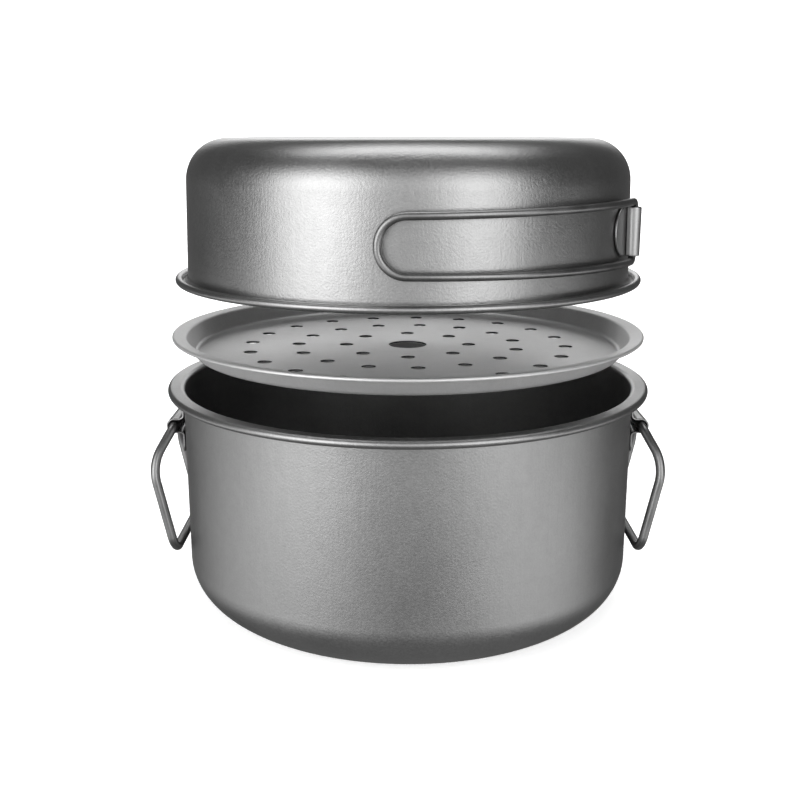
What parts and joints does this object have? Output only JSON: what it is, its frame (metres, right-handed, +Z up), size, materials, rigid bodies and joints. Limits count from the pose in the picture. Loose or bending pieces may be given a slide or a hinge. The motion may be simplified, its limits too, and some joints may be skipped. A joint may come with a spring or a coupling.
{
  "type": "camping cook set",
  "caption": "Round camping pot with folding wire handles, a perforated steamer tray, and a frying pan with a folding wire handle that turns over as the lid.",
  "frame": {"origin": "centre of the pot's underside, on the surface the set stands on", "axes": "+Z up along the axis shared by pot, tray and pan; -Y is the front; the pot's handles are at +X and -X and the pan's handle folds round the front"},
  "size_m": [0.1696, 0.1612, 0.1545],
  "materials": {
    "vessel_titanium": "bead-blasted bare titanium, satin grey",
    "tray_titanium": "bead-blasted bare titanium, satin grey, a little brighter than the pots",
    "wire_titanium": "drawn titanium wire, smooth satin",
    "bracket_titanium": "pressed titanium sheet, smooth satin"
  },
  "bodies": {
    "pot": {"pot_shell": "vessel_titanium", "pot_bracket_left": "bracket_titanium", "pot_bracket_right": "bracket_titanium"},
    "pot_handle_left": {"pot_handle_left": "wire_titanium"},
    "pot_handle_right": {"pot_handle_right": "wire_titanium"},
    "tray": {"steamer_tray": "tray_titanium"},
    "pan": {"pan_shell": "vessel_titanium", "pan_bracket": "bracket_titanium"},
    "pan_handle": {"pan_handle": "wire_titanium"}
  },
  "joints": [
    {"name": "pot_handle_right_swing", "type": "hinge", "parent": "pot", "child": "pot_handle_right", "pos_m": [0.0785, 0, 0.0604], "axis": [0, -1, 0], "range_deg": [0, 90]},
    {"name": "pot_handle_left_swing", "type": "hinge", "parent": "pot", "child": "pot_handle_left", "pos_m": [-0.0785, 0, 0.0604], "axis": [0, 1, 0], "range_deg": [0, 90]},
    {"name": "tray_lift", "type": "slide", "parent": "pot", "child": "tray", "axis": [0, 0, 1], "range_m": [-0.0155, 0.08]},
    {"name": "pan_lift", "type": "slide", "parent": "tray", "child": "pan", "axis": [0, 0, 1], "range_m": [-0.0169, 0.08]},
    {"name": "pan_handle_swing", "type": "hinge", "parent": "pan", "child": "pan_handle", "pos_m": [0.06833, -0.03042, 0.127], "axis": [0, 0, 1], "range_deg": [0, 130]}
  ]
}
